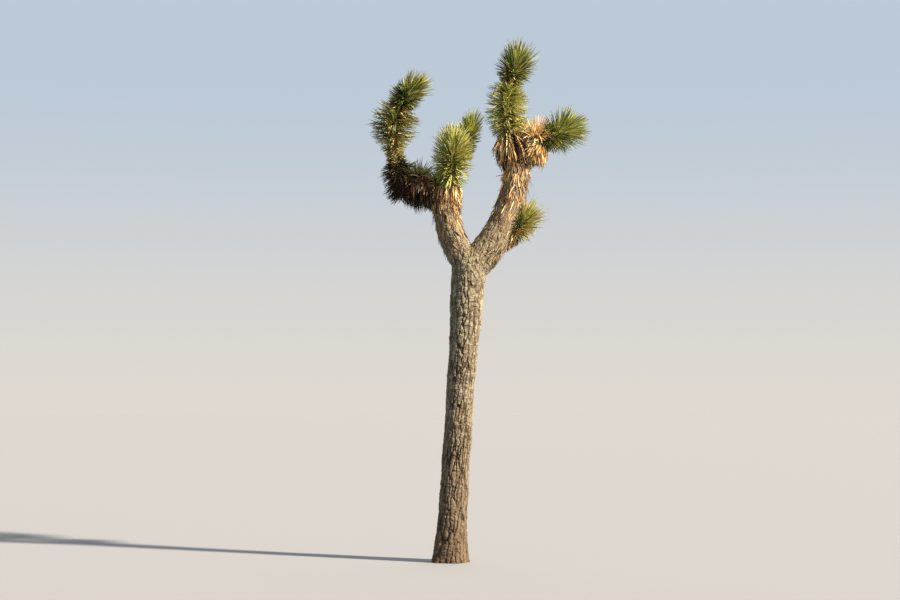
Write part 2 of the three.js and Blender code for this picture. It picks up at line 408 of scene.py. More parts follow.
# %% Where each point of the skin lies on its stem
SAMPLES = 90
PAST_ENDS = 0.02  # how far the samples run on past both ends, as a share of the stem
BATCHES = 12  # parts in which the points are worked through, to save memory


def nearest_place(points, names):
    """For each point, its place on the stem whose surface is nearest: how far it stands to the side and
    across, and how far along it is. Also that stem's mean girth, and how much further away the next
    stem's surface is."""
    best = np.full(len(points), np.inf)
    next_best, girth = best.copy(), np.zeros(len(points))
    place = np.zeros((len(points), 3))
    for order, name in enumerate(names):
        shares = np.linspace(-PAST_ENDS, 1 + PAST_ENDS, SAMPLES)
        middle, way, side, across = along(axes[name], shares)
        radius = (trunk_radius if name == "trunk" else stem_radius(name))(shares, np.zeros(SAMPLES))
        for piece in np.array_split(np.arange(len(points)), BATCHES):
            offset = points[piece][:, None] - middle[None]
            gap = np.linalg.norm(offset, axis=2) - radius[None]
            k = np.argmin(gap, axis=1)
            rows = np.arange(len(piece))
            here, offset = gap[rows, k], offset[rows, k]
            walked = shares[k] * axes[name]["length"] + (offset * way[k]).sum(1)
            away = np.stack([(offset * side[k]).sum(1), (offset * across[k]).sum(1), walked + order], axis=1)
            nearer = here < best[piece]
            next_best[piece] = np.where(nearer, best[piece], np.minimum(next_best[piece], here))
            best[piece] = np.where(nearer, here, best[piece])
            place[piece] = np.where(nearer[:, None], away, place[piece])
            girth[piece] = np.where(nearer, 2 * np.pi * radius.mean(), girth[piece])
    return place, girth, next_best - best


skin_points = read(skin.vertices, "co", 3).astype(float)
skin_out = read(skin.vertices, "normal", 3).astype(float)
place, girth, apart = nearest_place(skin_points, ["trunk", *BARKED])
print("skin points:", len(skin_points))

# %% Relief of the bark
RIDGE_SIZE = (0.036, 0.24)  # metres round and along the stem
RIDGE_SLOPE = 0.28  # share of a ridge that slopes into the furrow
FURROW_DEPTH = 0.014
FURROW_PATCH = 0.11  # metres over which the furrows deepen and close again
FURROW_MEAN, FURROW_SWING = 0.8, 0.35  # share of that depth which they have, and how far it changes
FILLING = 0.35  # share of the furrows' depth by which the skin is swelled first
RIDGE_SHIFT = 0.9  # the most by which the blocks of one ridge are moved against those of another
BLOCK_SIZE = (0.12, 0.038)
BLOCK_SLOPE = 0.18
BREAK_DEPTH = 0.0055
BREAK_PATCH = 0.05  # metres over which the cracks across come and go
BREAK_RANGE = (0.3, 1.1)  # share of their depth where they are most closed and most open
BREAK_NOISE = (-0.35, 0.45)  # values of the noise at which they are so
BLOCK_TILT = 0.011
KNOT_SIZE = (0.036, 0.036, 0.09)  # plates where two stems meet
KNOT_SLOPE = 0.20
KNOT_DEPTH = 0.006
KNOT_BAND = 0.07  # how far from the meeting line they reach
KNOT_CORE = 0.25  # share of that band which has no ridges at all
RAGGED_SIZE = 0.009
RAGGED = 0.07  # how much the edges of ridges and blocks are frayed
SUNKEN_SHARE = 0.25  # of the blocks, which have lost their outer layer
SUNKEN_DEPTH = 0.004
WARP_SIZE = 0.045
WARP = (0.009, 0.009, 0.014)  # how far the pattern wanders
NOISE_STEP = 7.7  # cells between the three noises that move it
LUMP_SIZE = 0.15
LUMP_HEIGHT = 0.0065
RUBBLE_SIZE = (0.009, 0.009, 0.016)
RUBBLE_HEIGHT = 0.0017
SPECK_SIZE, SPECK_SHARE = 0.006, 0.6  # specks on the rubble, and their height as a share of it
SMOOTHER_ABOVE, SMOOTHEST_ABOVE = 2.55, 3.2  # heights between which the cork thins out on the boughs
THINNING = 0.7  # share of its relief that it loses there
HOLLOWNESS = (0.92, 0.5, 0.1)  # of a furrow, of a crack across and of a sunken block


def unrolled(place, girth, size):
    """Places on a stem counted in cells of a size, round it and along it, and the whole number of cells
    that fit round it."""
    around = np.maximum(3, np.round(girth / size[0]))
    turn = np.arctan2(place[:, 1], place[:, 0]) / (2 * np.pi)
    return np.stack([turn * around, place[:, 2] / size[1]], axis=1), around


def bark_relief(place, girth, apart, points):
    """Relief of the bark: ridges rounded off into furrows, broken into tilted blocks, some of them
    sunken, with broad lumps and fine rubble. Where two stems meet their grids don't fit together, so the
    ridges give way to plates of one grid that fills all space. Also how hollow each place is, 0 to 1, and
    a random number for its block."""
    noises = [cloud(place / WARP_SIZE + NOISE_STEP * k, seed=11 + k) for k in range(3)]
    wander = np.stack(noises, axis=1)
    warped = place + wander * WARP
    frayed = RAGGED * cloud(place / RAGGED_SIZE, seed=45)
    cells, around = unrolled(warped, girth, RIDGE_SIZE)
    nearest, second, number, _ = plates(cells, seed=21, around=around)
    ridge = ease(0.0, RIDGE_SLOPE, second - nearest + frayed)
    cells, around = unrolled(warped, girth, BLOCK_SIZE)
    cells[:, 1] += number * RIDGE_SHIFT / BLOCK_SIZE[1]
    nearest, second, block, face = plates(cells, seed=71, around=around)
    top = ease(0.0, BLOCK_SLOPE, second - nearest + frayed)
    nearest, second, knot_block, _ = plates((points + wander * WARP) / KNOT_SIZE, seed=91)
    knot = ease(0.0, KNOT_SLOPE, second - nearest + frayed)
    ridged = ease(KNOT_CORE * KNOT_BAND, KNOT_BAND, apart)
    block = np.where(ridged > 0.5, block, knot_block)
    cork = 1 - THINNING * ease(SMOOTHER_ABOVE, SMOOTHEST_ABOVE, points[:, 2])
    furrow_depth = FURROW_MEAN + FURROW_SWING * cloud(place / FURROW_PATCH, seed=51)
    furrow = cork * ridged * (1 - ridge) * furrow_depth
    open_here = between(*BREAK_RANGE, ease(*BREAK_NOISE, cloud(place / BREAK_PATCH, seed=52)))
    broken = cork * between((1 - knot) * KNOT_DEPTH / BREAK_DEPTH, (1 - top) * open_here, ridged)
    sunken = (block < SUNKEN_SHARE) * top * ridge * ridged
    lumps = LUMP_HEIGHT * cloud(place / LUMP_SIZE, seed=31)
    specks = SPECK_SHARE * cloud(place / SPECK_SIZE, seed=42)
    rubble = RUBBLE_HEIGHT * (cloud(place / RUBBLE_SIZE, seed=41) + specks)
    relief = lumps + rubble + cork * (BLOCK_TILT * face * top - SUNKEN_DEPTH * sunken)
    relief += FILLING * FURROW_DEPTH - FURROW_DEPTH * furrow - BREAK_DEPTH * broken
    hollow = HOLLOWNESS[0] * furrow + HOLLOWNESS[1] * broken + HOLLOWNESS[2] * sunken
    return relief, np.clip(hollow, 0, 1), block


relief, hollow, block = bark_relief(place, girth, apart, skin_points)
skin_points += skin_out * relief[:, None]
skin.vertices.foreach_set("co", skin_points.astype(np.float32).ravel())
for what, values in {"hollow": hollow, "block": block}.items():
    skin.attributes.new(what, "FLOAT", "POINT").data.foreach_set("value", values.astype(np.float32))
place_row = skin.attributes.new("stem_place", "FLOAT_VECTOR", "POINT")
place_row.data.foreach_set("vector", place.astype(np.float32).ravel())
print("relief from", relief.min().round(4), "to", relief.max().round(4))

# %% [markdown]
# ## Cutting the skin to pieces
#
# The skin is cut off flat at the ground, as the CAD trunk is, and cut across three times more, so that no
# piece grows too heavy. Each cut is closed with a flat face, which keeps every piece a solid.

# %% Cut and close
BARK_PIECES = {
    "trunk_bark_low": (0.0, 1.2),
    "trunk_bark_high": (1.2, 2.42),
    "fork_bark": (2.42, 2.95),
    "bough_bark": (2.95, None),
}
ON_CUT = 1e-6


def cut(mesh, name, heights):
    """The part of a mesh between two heights, closed where it is cut. A height of None doesn't cut."""
    work = bmesh.new()
    work.from_mesh(mesh)
    cuts = [(height, up) for height, up in zip(heights, (-1, 1)) if height is not None]
    for height, up in cuts:
        found = bmesh.ops.bisect_plane(
            work, geom=work.verts[:] + work.edges[:] + work.faces[:], dist=ON_CUT,
            plane_co=(0, 0, height), plane_no=(0, 0, up), clear_outer=True)
        rim = [item for item in found["geom_cut"] if isinstance(item, bmesh.types.BMEdge)]
        closed = bmesh.ops.holes_fill(work, edges=rim, sides=0)
        bmesh.ops.triangulate(work, faces=closed["faces"])
    part = bpy.data.meshes.new(name)
    work.to_mesh(part)
    work.free()
    points = read(part.vertices, "co", 3)
    level = np.zeros(len(points), bool)
    for height, _ in cuts:
        on_cut = np.abs(points[:, 2] - height) < ON_CUT
        points[on_cut, 2] = height
        level |= on_cut
    part.vertices.foreach_set("co", points.ravel())
    sharp = level[read(part.edges, "vertices", 2, np.int32)].all(1)
    part.shade_smooth()
    part.attributes.new("sharp_edge", "BOOLEAN", "EDGE").data.foreach_set("value", sharp)
    print(name, "triangles:", sum(read(part.polygons, "loop_total", 1, np.int32) - 2))
    return show(name, part)


bark_pieces = [cut(skin, name, heights) for name, heights in BARK_PIECES.items()]
bpy.data.meshes.remove(skin)

# %% [markdown]
# ## The leaf-bearing stems
#
# Inside a clump of leaves the stem itself hardly shows. It is a plain tapering tube that ends in a dome,
# with a low ring of lumps where the leaf bases sit.

# %% Stems inside the clumps
CORE_SIDES = 20
CORE_SPACING = 0.012
DOME = 0.035  # length over which a stem rounds off to its tip
CORES = {
    "left_arm": 0.20,
    "left_spire": 0.0,
    "centre_spire": 0.0,
    "twin_arm": 0.44,
    "left_back_arm": 0.42,
    "right_spire": 0.0,
    "right_arm": 0.22,
    "right_back_arm": 0.38,
    "low_spur": 0.50,
}
CORE_SLIMMING = 0.86
BASE_LUMPS = 0.07  # height of the leaf bases, as a share of the radius
BASE_WAVES = ((5, 130), (3, -210))  # two sets of waves: how many run round, and radians to the metre
TIP_CLOSING = 0.998  # how far the dome closes


def core_radius(name):
    """The limb's own radius, a little slimmer, closed as sqrt(1 - t^2) over the dome, with low lumps."""
    first, last = STEMS[name]["radius"]
    length = STEMS[name]["length"]

    def radius_at(share, angle):
        into_dome = np.clip(1 - (1 - share) * length / DOME, 0, 1)
        one, other = (np.sin(waves * angle + climb * share * length) for waves, climb in BASE_WAVES)
        lumps = 1 + BASE_LUMPS * one * other
        return CORE_SLIMMING * between(first, last, share) * lumps * np.sqrt(1 - TIP_CLOSING * into_dome**2)

    return radius_at


def core(name, first):
    """The tube of one leaf-bearing stem."""
    shares = np.linspace(first, 1.0, int((1 - first) * STEMS[name]["length"] / CORE_SPACING))
    return tube(axes[name], shares, CORE_SIDES, core_radius(name)), *ring_faces(len(shares), CORE_SIDES)


leafy_stems = show("leafy_stems", mesh_of("leafy_stems", *join([core(*item) for item in CORES.items()])))
leafy_stems.data.shade_smooth()
print("leafy stems, faces:", len(leafy_stems.data.polygons))

# %% [markdown]
# ## One leaf
#
# A leaf is a stiff dagger, 15 to 35 cm long and about 1 cm wide, flat above and keeled below, with a pale
# clasping base and a sharp brown spine at its tip. It could be a flat card, but a card has no keel to
# catch the light. A closed blade with a section of four points is enough: two margins, a shallow groove
# and a keel.

# %% Blades
STATIONS = np.array([0.0, 0.09, 0.30, 0.55, 0.78, 0.94])
OUTLINE = np.array([2.2, 1.2, 0.96, 0.80, 0.50, 0.16])  # width at each station, in leaf widths
KEEL = np.array([0.50, 0.42, 0.36, 0.32, 0.24, 0.12])
GROOVE = np.array([0.20, 0.05, 0.04, 0.06, 0.08, 0.08])
SECTION = 4
BLADE_POINTS = len(STATIONS) * SECTION + 1


def blade_points(leaves):
    """Each leaf's middle line is an arc of a circle: base + L (sin(ks)/k way + (1 - cos(ks))/k bend),
    where s is the share of the length L and k the angle that the leaf turns through from base to tip.
    Across it lie four points: a margin, the keel, the other margin and the groove. The last point is the
    tip of the spine."""
    base, way, bend = (leaves[what][:, None] for what in ("base", "way", "bend"))
    curl, roll, width = (leaves[what][:, None] for what in ("curl", "roll", "width"))
    turn = curl * np.append(STATIONS, 1.0)
    on, off = (np.sin(turn) / curl)[..., None], ((1 - np.cos(turn)) / curl)[..., None]
    middle = base + leaves["length"][:, None, None] * (on * way + off * bend)
    middle, tip, turn = middle[:, :-1], middle[:, -1:], turn[:, :-1]
    down = turned(bend, -way, turn)
    flank = np.cross(down, turned(way, bend, turn))
    flank, down = turned(flank, down, roll), turned(down, -flank, roll)
    half, keel, groove = ((width * shares)[..., None] for shares in (0.5 * OUTLINE, KEEL, GROOVE))
    ring = [middle + half * flank, middle + keel * down, middle - half * flank, middle - groove * down]
    return np.concatenate([np.stack(ring, axis=2).reshape(len(tip), -1, 3), tip], axis=1)


def blade_faces(count):
    """Corners of the faces of that many leaves, and for each face whether it is base, blade or spine."""
    rings = len(STATIONS)
    quads = np.vstack([ring_faces(rings, SECTION)[0], [[3, 2, 1, 0]]])
    j = np.arange(SECTION)
    last = (rings - 1) * SECTION
    tips = np.stack([last + j, last + (j + 1) % SECTION, np.full(SECTION, last + SECTION)], axis=1)
    zone = np.array([0] * SECTION + [1] * SECTION * (rings - 2) + [0] + [2] * SECTION)
    shift = (np.arange(count) * BLADE_POINTS)[:, None, None]
    return (quads + shift).reshape(-1, 4), (tips + shift).reshape(-1, 3), zone, len(quads)


def leaf_piece(name, leaves, finishes, base_finish, spine_finish):
    """All leaves of a clump as one mesh. Each leaf takes one finish for its blade, and all share the
    finishes of base and spine. Lengthwise edges stay sharp, and the blade is smooth along its length."""
    count = len(leaves["base"])
    quads, tips, zone, own_quads = blade_faces(count)
    mesh = mesh_of(name, blade_points(leaves).reshape(-1, 3), quads, tips)
    for finish in [*finishes, base_finish, spine_finish]:
        mesh.materials.append(finish)
    tone = leaves["tone"][:, None]
    index = np.where(zone[None] == 0, len(finishes), np.where(zone[None] == 2, len(finishes) + 1, tone))
    index = np.concatenate([index[:, :own_quads].ravel(), index[:, own_quads:].ravel()])
    mesh.polygons.foreach_set("material_index", index.astype(np.int32))
    mesh.shade_smooth()
    ends = read(mesh.edges, "vertices", 2, np.int32) % BLADE_POINTS
    sharp = (ends[:, 0] % SECTION == ends[:, 1] % SECTION) & (ends.max(1) < BLADE_POINTS - 1)
    mesh.attributes.new("sharp_edge", "BOOLEAN", "EDGE").data.foreach_set("value", sharp)
    return show(name, mesh)


# %% [markdown]
# ## Where leaves stand
#
# Leaves leave the stem one after another, each turned from the last by the golden angle of about 137.5
# degrees, which packs them evenly. Near the tip they point up, and the older ones below spread out and
# then turn down. How long each leaf is comes from the CAD solid of its clump: the leaf ends about where
# it would break through its surface.

# %% Leaves on a stem
GOLDEN_TURN = math.pi * (3 - math.sqrt(5))
SHORTEST, LONGEST = 0.08, 0.34
SPRAYS_ROUND = 7  # sprays round a stem
SPRAY_HEIGHT = 0.055
GATHER = 0.30  # how far a leaf is drawn to the middle of its spray
TURN_ERROR = 0.12  # radians
STEP_RANGE = (0.1, 0.9)  # where a leaf stands within its own step along the stem
DISFAVOUR = 0.08  # the least that a spray favours a tone
FAVOUR_SEED = 60
EDGE_ON = 1e-12  # the least scale of a triangle that a ray meets edge on


def reach(node, start, way):
    """How far rays run until they leave a CAD solid for the last time: each ray is tried against each
    triangle, as start + t way = corner + u edge1 + v edge2 with u, v and 1 - u - v not below 0. No
    crossing gives 0."""
    mesh = frame["nodes"][node].data
    corners = read(mesh.vertices, "co", 3).astype(float)[read(mesh.loops, "vertex_index", 1, np.int32)]
    first, second, third = corners.reshape(-1, 3, 3).transpose(1, 0, 2)
    edge1, edge2 = second - first, third - first
    square = np.cross(way[:, None], edge2[None])
    scale = (square * edge1).sum(2)
    scale = np.where(np.abs(scale) < EDGE_ON, EDGE_ON, scale)
    offset = start[:, None] - first[None]
    u = (offset * square).sum(2) / scale
    across = np.cross(offset, edge1[None])
    v = (way[:, None] * across).sum(2) / scale
    t = (edge2[None] * across).sum(2) / scale
    crossed = (u >= 0) & (v >= 0) & (u + v <= 1) & (t > 0)
    return np.where(crossed, t, 0).max(1)


def leaf_bed(stem, first, last, count, rng, crowding=1.0, seat=0.8):
    """Places of leaves on a stem: the n-th is turned n golden angles, and they are evenly spread along
    it. Gives the point on the stem, the onward and outward directions, the age of each leaf, 1 at the
    foot and 0 at the tip, and the spray that it belongs to. A crowding above 1 packs the leaves towards
    the tip. The seat is the share of the radius of the bare stem at which the leaves start."""
    age = (1 - (np.arange(count) + rng.uniform(*STEP_RANGE, count)) / count) ** crowding
    share = between(last, first, age)
    turn = np.arange(count) * GOLDEN_TURN + rng.normal(0, TURN_ERROR, count)
    sector = np.floor(turn / (2 * np.pi) * SPRAYS_ROUND)
    slot = np.floor(share * axes[stem]["length"] / SPRAY_HEIGHT + 0.5 * (sector % 2))
    spray = np.stack([sector % SPRAYS_ROUND, slot, 0 * slot], axis=1)
    turn = between(turn, (sector + 0.5) * 2 * np.pi / SPRAYS_ROUND, GATHER)
    point, way, side, across = along(axes[stem], share)
    outward = turned(side, across, turn)
    radius = (core_radius if stem in CORES else stem_radius)(stem)(share, turn)
    return point + outward * (seat * radius)[:, None], way, outward, age, spray


def deal(rng, age, spray, seed, young, old):
    """A tone for each leaf, drawn by weights that go from those of young leaves to those of old ones.
    Each spray favours some tones, by the square of a fixed random number for that spray and tone."""
    weights = between(np.array(young, float), np.array(old, float), age[:, None])
    favour = np.stack([scatter(spray, seed + FAVOUR_SEED + k) for k in range(len(young))], axis=1)
    weights = weights * (DISFAVOUR + favour**2)
    steps = np.cumsum(weights / weights.sum(1, keepdims=True), axis=1)
    return (rng.uniform(size=(len(age), 1)) > steps).sum(1).clip(0, len(young) - 1)


OVERHANG = 0.03  # how far a leaf may stand out of the CAD solid of its clump, where nothing else is said
STRAY_SHARE, STRAY_LENGTH = 0.07, 1.16
LEAF_WIDTH = 0.0125
LIVE_LENGTHS = (0.86, 1.12)  # shares of the way to the surface of the CAD solid
SPRAY_LENGTHS = (0.80, 1.10)  # the same for a whole spray
OPENING = 0.62  # the power of the age by which a leaf opens out
SPRAY_TILT, LEAF_TILT = 30, 7  # degrees by which a spray and a leaf stand off from their rule
YOUNG = (0.0, 0.35)  # ages over which the crown's share of the length dies away
OLD = (0.55, 1.0)  # ages over which the foot's share sets in
SETTLED = (0.0, 0.25)  # ages over which the sprays come apart
CURL, CURL_SPREAD, CURL_WITH_AGE = 0.08, 0.16, 0.22  # radians
STRAIGHTEST = 0.01  # the least curl, which keeps the arc's formula from dividing by nothing
ROLL = 0.3  # radians by which a blade is rolled about its own length
LIVE_WIDTHS = (0.85, 1.15)  # shares of the width


def leaf_lengths(rng, node, base, way, shares, overhang):
    """Length of each leaf: the way it has in the solid, times a factor between the two shares. A few are
    longer strays. None stands out by more than the overhang."""
    free = reach(node, base, way)
    length = free * rng.uniform(*shares, len(base))
    length *= np.where(rng.uniform(size=len(base)) < STRAY_SHARE, STRAY_LENGTH, 1.0)
    return np.clip(np.minimum(length, free + overhang), SHORTEST, LONGEST)


def live_leaves(
    node, stem, first, last, count, lean, young, old, seed,
    crowding=1.0, foot=1.0, crown=1.0, stretch=1.0, overhang=OVERHANG, width=LEAF_WIDTH,
):
    """A clump of live leaves. lean is the angle between leaf and stem in degrees, (at the foot, at the
    tip). It changes with a power of the age, so that most leaves spread and only the youngest stand up.
    foot and crown are the shares of their length that the oldest and the youngest leaves keep."""
    rng = np.random.default_rng(seed)
    base, onward, outward, age, spray = leaf_bed(stem, first, last, count, rng, crowding)
    tilt = SPRAY_TILT * (scatter(spray, seed) - 0.5) * ease(*SETTLED, age)
    angle = np.radians(between(lean[1], lean[0], age**OPENING) + tilt + rng.normal(0, LEAF_TILT, count))
    way, bend = turned(onward, outward, angle), turned(outward, -onward, angle)
    curl = rng.normal(CURL, CURL_SPREAD, count) + CURL_WITH_AGE * age
    curl = np.where(np.abs(curl) < STRAIGHTEST, STRAIGHTEST, curl)
    middle_way = unit(turned(way, bend, curl / 2))
    length = stretch * leaf_lengths(rng, node, base, middle_way, LIVE_LENGTHS, overhang)
    length *= between(*SPRAY_LENGTHS, scatter(spray, seed + 1))
    length *= between(1.0, foot, ease(*OLD, age)) * between(crown, 1.0, ease(*YOUNG, age))
    return dict(
        base=base, way=way, bend=bend, curl=curl, length=length,
        roll=rng.normal(0, ROLL, count), width=width * rng.uniform(*LIVE_WIDTHS, count),
        tone=deal(rng, age, spray, seed, young, old))


# %% [markdown]
# ## Finishes of the leaves
#
# Green leaves have a waxy skin: satin, with a soft gloss over a dull green. In evening sun they range
# from grey green to yellow olive, and old ones bleach. Dead leaves are dry fibre, like straw, and quite
# dull. There are thousands of leaves, so a pattern on each would be lost. Each leaf takes one of a few
# plain tones instead, by a seeded draw.

# %% Colours and nodes


def linear(hex_colour):
    """An sRGB hex colour as linear RGBA: ((c + 0.055) / 1.055)^2.4 a channel, or c / 12.92 near black."""
    srgb = np.array([int(hex_colour[k : k + 2], 16) for k in (1, 3, 5)]) / 255
    values = np.where(srgb <= 0.04045, srgb / 12.92, ((srgb + 0.055) / 1.055) ** 2.4)
    return (*values.tolist(), 1.0)


def add(material, kind, values=None, links=None, **settings):
    """A new node with its settings, the values of its inputs and what feeds them: an output, or a node,
    which stands for the first of its outputs that is in use."""
    made = material.node_tree.nodes.new(kind)
    for what, value in settings.items():
        setattr(made, what, value)
    for socket, value in (values or {}).items():
        made.inputs[socket].default_value = value
    for socket, source in (links or {}).items():
        if isinstance(source, bpy.types.Node):
            source = next(output for output in source.outputs if output.enabled)
        material.node_tree.links.new(source, made.inputs[socket])
    return made


def finish_named(name):
    """An empty material whose nodes are added by hand."""
    material = bpy.data.materials.new(name)
    material.use_nodes = True
    material.node_tree.nodes.clear()
    return material


def plain_finish(name, colour, **values):
    """A material of one plain colour, with the other values of its surface."""
    material = finish_named(name)
    surface = add(material, "ShaderNodeBsdfPrincipled", {"Base Color": linear(colour), **values})
    add(material, "ShaderNodeOutputMaterial", links={"Surface": surface})
    material.diffuse_color = linear(colour)
    return material


# %% Tones of the leaves
# Plant wax has an IOR of about 1.43. It is not polished, so its gloss is broad.
WAX = {"Roughness": 0.48, "IOR": 1.43}
LIVE_TONES = [
    plain_finish("leaf_deep_green", "#54642d", **WAX),
    plain_finish("leaf_olive", "#969d49", **WAX),
    plain_finish("leaf_yellow_green", "#bcba5c", **WAX),
    plain_finish("leaf_pale_green", "#cfcf8b", **WAX),
    plain_finish("leaf_fading_tan", "#c9a868", Roughness=0.7, IOR=1.43),
    plain_finish("leaf_dying_brown_and_shade", "#44331f", Roughness=0.8, IOR=1.43),
]
LEAF_BASE = plain_finish("leaf_base_cream", "#b9ac78", Roughness=0.6, IOR=1.43)
LEAF_SPINE = plain_finish("leaf_spine_brown", "#5d4630", Roughness=0.5, IOR=1.5)
ALIVE = (LIVE_TONES, LEAF_BASE, LEAF_SPINE)

# Dry leaf fibre scatters light like straw or paper, with hardly any gloss.
DRY = {"Roughness": 0.88, "IOR": 1.4}
# The charcoal tone is partly the dark grey brown of old thatch and partly painted shade: it fills the gaps
# between clumps and the shaded undersides of the thatches.
*DEAD_TONES, DEAD_BASE, DEAD_SPINE = [
    plain_finish(f"dead_leaf_{tone}", colour, **DRY) for tone, colour in {
        "straw": "#ecd099", "tan": "#cda469", "brown": "#8f6741", "grey": "#988a74",
        "rust": "#6b3f22", "charcoal_shade": "#2d2219", "base": "#6b5237", "spine": "#43301f",
    }.items()]
DEAD = (DEAD_TONES, DEAD_BASE, DEAD_SPINE)
print("leaf tones:", len(LIVE_TONES), "dead leaf tones:", len(DEAD_TONES))

# %% [markdown]
# ## Heads of live leaves
#
# Each head is the leafy end of one stem, or a leafy stretch of it. Weights deal out the tones: deep
# green, olive, yellow green, pale green, fading tan and dying brown, for young leaves and for old ones.
# Dying brown and deep green also serve as painted shade where a clump sits in shade.

# %% Grow the heads
SEEDS = {"head": 100, "tuft": 150, "dead_shoot": 160, "thatch": 200, "husks": 300}
BACK_HEAD = dict(
    last=1.0, count=600, lean=(120, 3), crowding=1.4, foot=0.7,
    young=(1, 4, 5, 1.5, 0, 0), old=(4, 3, 2, 0.5, 1, 2))
HEADS = {
    # The elbow is dealt almost all dying brown, as painted shade on a clump that sits in shade.
    "left_elbow_leaves": dict(
        stem="left_spire", first=-0.20, last=0.22, count=740, lean=(116, 74),
        stretch=1.22, foot=1.15, crown=0.6,
        young=(1.5, 0.3, 0.2, 0.3, 0.3, 10), old=(0.8, 0, 0, 0, 0.2, 24)),
    # Where the top head sits on the middle one, the middle's young leaves and the top's old ones are dealt
    # mostly deep green and dying brown: tones the leaves have, massed here as painted shade in the waist.
    "left_middle_leaves": dict(
        stem="left_spire", first=0.21, last=0.84, count=880, lean=(98, 70),
        stretch=1.14, foot=0.52, overhang=0.05,
        young=(5, 2, 1, 0.5, 1.5, 3), old=(1, 2, 3, 3, 4, 0.5)),
    "left_top_leaves": dict(
        stem="left_spire", first=0.78, last=1.0, count=700, lean=(124, 3),
        crowding=1.3, foot=1.2, overhang=0.05,
        young=(3, 5, 3, 1.2, 0.5, 0), old=(9, 2, 0.3, 0.2, 1, 4)),
    "centre_leaves": dict(
        stem="centre_spire", first=0.04, last=1.0, count=1040, lean=(122, 3), crowding=1.15, foot=1.1,
        young=(1, 3, 5, 3, 0.8, 0), old=(1, 3, 5, 1.5, 2.2, 0.4)),
    "twin_leaves": dict(
        stem="twin_arm", first=0.66, last=1.0, count=460, lean=(84, 3), stretch=1.25, overhang=0.05,
        young=(0.5, 3, 4, 2, 0, 0), old=(1, 3, 3, 1.5, 0.5, 0)),
    "left_back_leaves": dict(stem="left_back_arm", first=0.60, **BACK_HEAD),
    "right_middle_leaves": dict(
        stem="right_spire", first=0.24, last=0.84, count=1080, lean=(104, 58),
        foot=0.9, crown=1.2, overhang=0.05,
        young=(1, 3, 5, 3.5, 0.5, 0.4), old=(0.8, 2, 4.5, 3.5, 2, 0.5)),
    # Its old leaves are dealt mostly deep green and dying brown: tones the leaves have, massed at its foot as
    # painted shade under the head.
    "right_top_leaves": dict(
        stem="right_spire", first=0.84, last=1.0, count=720, lean=(126, 3), crowding=1.35, foot=0.74,
        young=(4, 4.5, 3, 1.2, 0.8, 0.8), old=(9, 2.5, 0.4, 0.2, 1, 3)),
    "right_side_leaves": dict(
        stem="right_arm", first=0.52, last=1.0, count=780, lean=(124, 3), crowding=1.5, foot=0.8,
        young=(3, 5, 3, 2, 0.3, 0), old=(6, 4, 2, 1, 1, 0.6)),
    "right_back_leaves": dict(stem="right_back_arm", first=0.56, **BACK_HEAD),
    "low_spur_leaves": dict(
        stem="low_spur", first=0.50, last=1.0, count=600, lean=(120, 3), crowding=1.2, foot=0.8,
        young=(1, 3, 4, 2, 2, 0), old=(1, 2, 3, 2, 4, 0.5)),
}


def clothe(what, table, rule, finishes):
    """One piece of leaves for each row of a table, grown by a rule in place of the solid it names."""
    pieces = []
    for order, (node, facts) in enumerate(table.items()):
        leaves = rule(node, seed=SEEDS[what] + order, **facts)
        piece = leaf_piece(f"{what}_{node}", leaves, *finishes)
        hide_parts(node)
        pieces.append(piece)
        print(node, "leaves:", facts["count"], "length:", leaves["length"].mean().round(3))
    return pieces


heads = clothe("head", HEADS, live_leaves, ALIVE)

# %% [markdown]
# ## Young shoots
#
# On top of the left arm two small green tufts stick up out of the dead leaves. A Joshua tree sends out
# such shoots beside an old head. Each is a rosette: blades all round one upright line, the young ones
# upright in the middle.

# %% Grow the tufts
TUFTS = [dict(share=0.16, count=46), dict(share=0.56, count=54)]  # shares of the left arm
TUFT_RADIUS = 0.012
TUFT_TILT = 6  # degrees
TUFT_WIDTHS = (0.010, 0.014)
TUFT_CURL, DROOPING = 0.05, (0.5, 1.2)  # the least curl in radians, and shares of the droop


def tuft(stem, share, count, seed, spread, droop, length, young, old):
    """A rosette on top of a stem. The n-th blade is turned n golden angles about the vertical, and leans
    out by the spread in degrees times the square root of its age. Its curl goes up to the droop, in
    radians, with its age."""
    rng = np.random.default_rng(seed)
    age = 1 - (np.arange(count) + 0.5) / count
    turn = np.arange(count) * GOLDEN_TURN
    foot = along(axes[stem], share)[0] + np.array([0, 0, STEMS[stem]["radius"][0]])
    outward = np.stack([np.cos(turn), np.sin(turn), np.zeros(count)], axis=1)
    up = np.array([0.0, 0.0, 1.0])
    angle = np.radians(spread * np.sqrt(age) + rng.normal(0, TUFT_TILT, count))
    spray = np.stack([np.floor(turn), 0 * turn, 0 * turn], axis=1)
    return dict(
        base=foot + TUFT_RADIUS * outward, way=turned(up, outward, angle), bend=turned(outward, -up, angle),
        curl=TUFT_CURL + droop * age * rng.uniform(*DROOPING, count), length=rng.uniform(*length, count),
        roll=rng.normal(0, ROLL, count), width=rng.uniform(*TUFT_WIDTHS, count),
        tone=deal(rng, age, spray, seed, young, old))


def together(groups):
    """Several groups of leaves as one."""
    return {what: np.concatenate([group[what] for group in groups]) for what in groups[0]}


GREEN_TUFT = dict(spread=62, droop=0.5, length=(0.15, 0.21), young=(2, 4, 3, 1, 0, 0), old=(4, 3, 1, 1, 2, 1))
shoots = together([
    tuft("left_arm", seed=SEEDS["tuft"] + k, **facts, **GREEN_TUFT) for k, facts in enumerate(TUFTS)])
heads.append(leaf_piece("left_arm_tufts", shoots, *ALIVE))
print("blades in the tufts:", len(shoots["base"]))

# %% [markdown]
# ## Thatch of dead leaves
#
# A dead leaf stays on the tree for years. It folds back against the stem and hangs, so that each limb
# wears a shaggy skirt below its head. The same blade serves, but it points back down the stem, bends
# towards the ground, twists more, and is dry.

